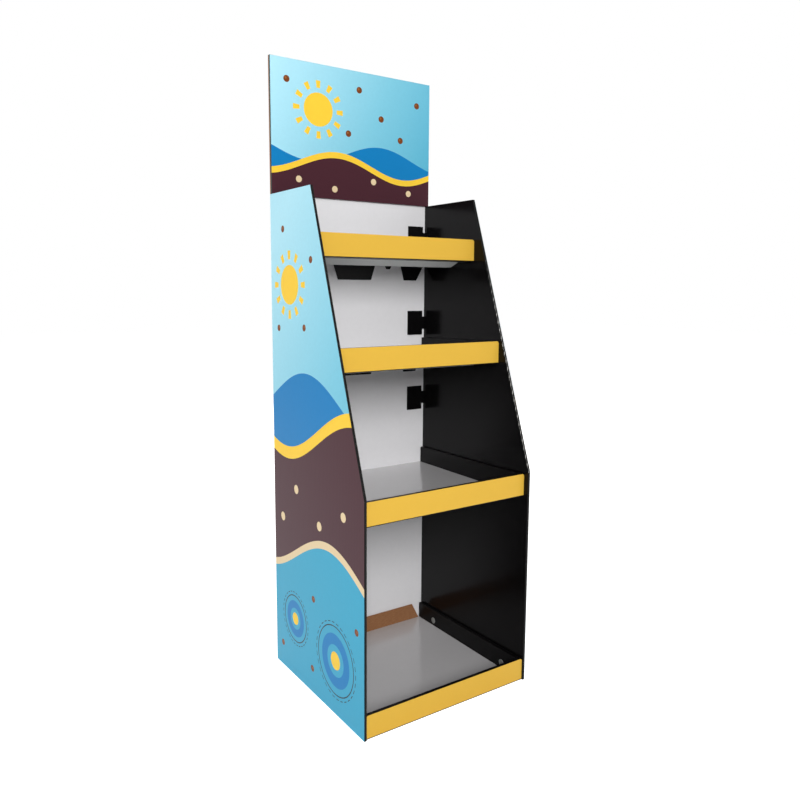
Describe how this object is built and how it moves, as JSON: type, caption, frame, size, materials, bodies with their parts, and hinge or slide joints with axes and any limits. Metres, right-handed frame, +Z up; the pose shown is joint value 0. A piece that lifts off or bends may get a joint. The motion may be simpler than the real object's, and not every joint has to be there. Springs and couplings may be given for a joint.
{
  "type": "cardboard display stand",
  "caption": "Free-standing cardboard floor display with sloping sides, a header card and four open trays, each with a rolled front lip.",
  "frame": {"origin": "centre of the stand's footprint, on the floor it stands on", "axes": "+Z up; the lips and the print face -Y; +X to the right of someone facing the stand"},
  "size_m": [0.464, 0.434, 1.5],
  "materials": {
    "printed_side_board": "gloss laminate: light blue print outside, black inside",
    "white_board": "semi-matt white liner, kraft on the reverse",
    "printed_header_board": "gloss laminate over light blue print",
    "printed_tray_board": "satin laminate: yellow lip, black flanges, white floor",
    "grey_polypropylene": "moulded"
  },
  "bodies": {
    "root": {"left_side_panel": "printed_side_board", "right_side_panel": "printed_side_board", "back_panel": "white_board", "header_card": "printed_header_board", "top_shelf_tray": "printed_tray_board", "second_shelf_tray": "printed_tray_board", "third_shelf_tray": "printed_tray_board", "base_tray": "printed_tray_board", "top_shelf_stiffener": "white_board", "second_shelf_stiffener": "white_board", "third_shelf_stiffener": "white_board", "snap_rivets": "grey_polypropylene"}
  },
  "joints": []
}
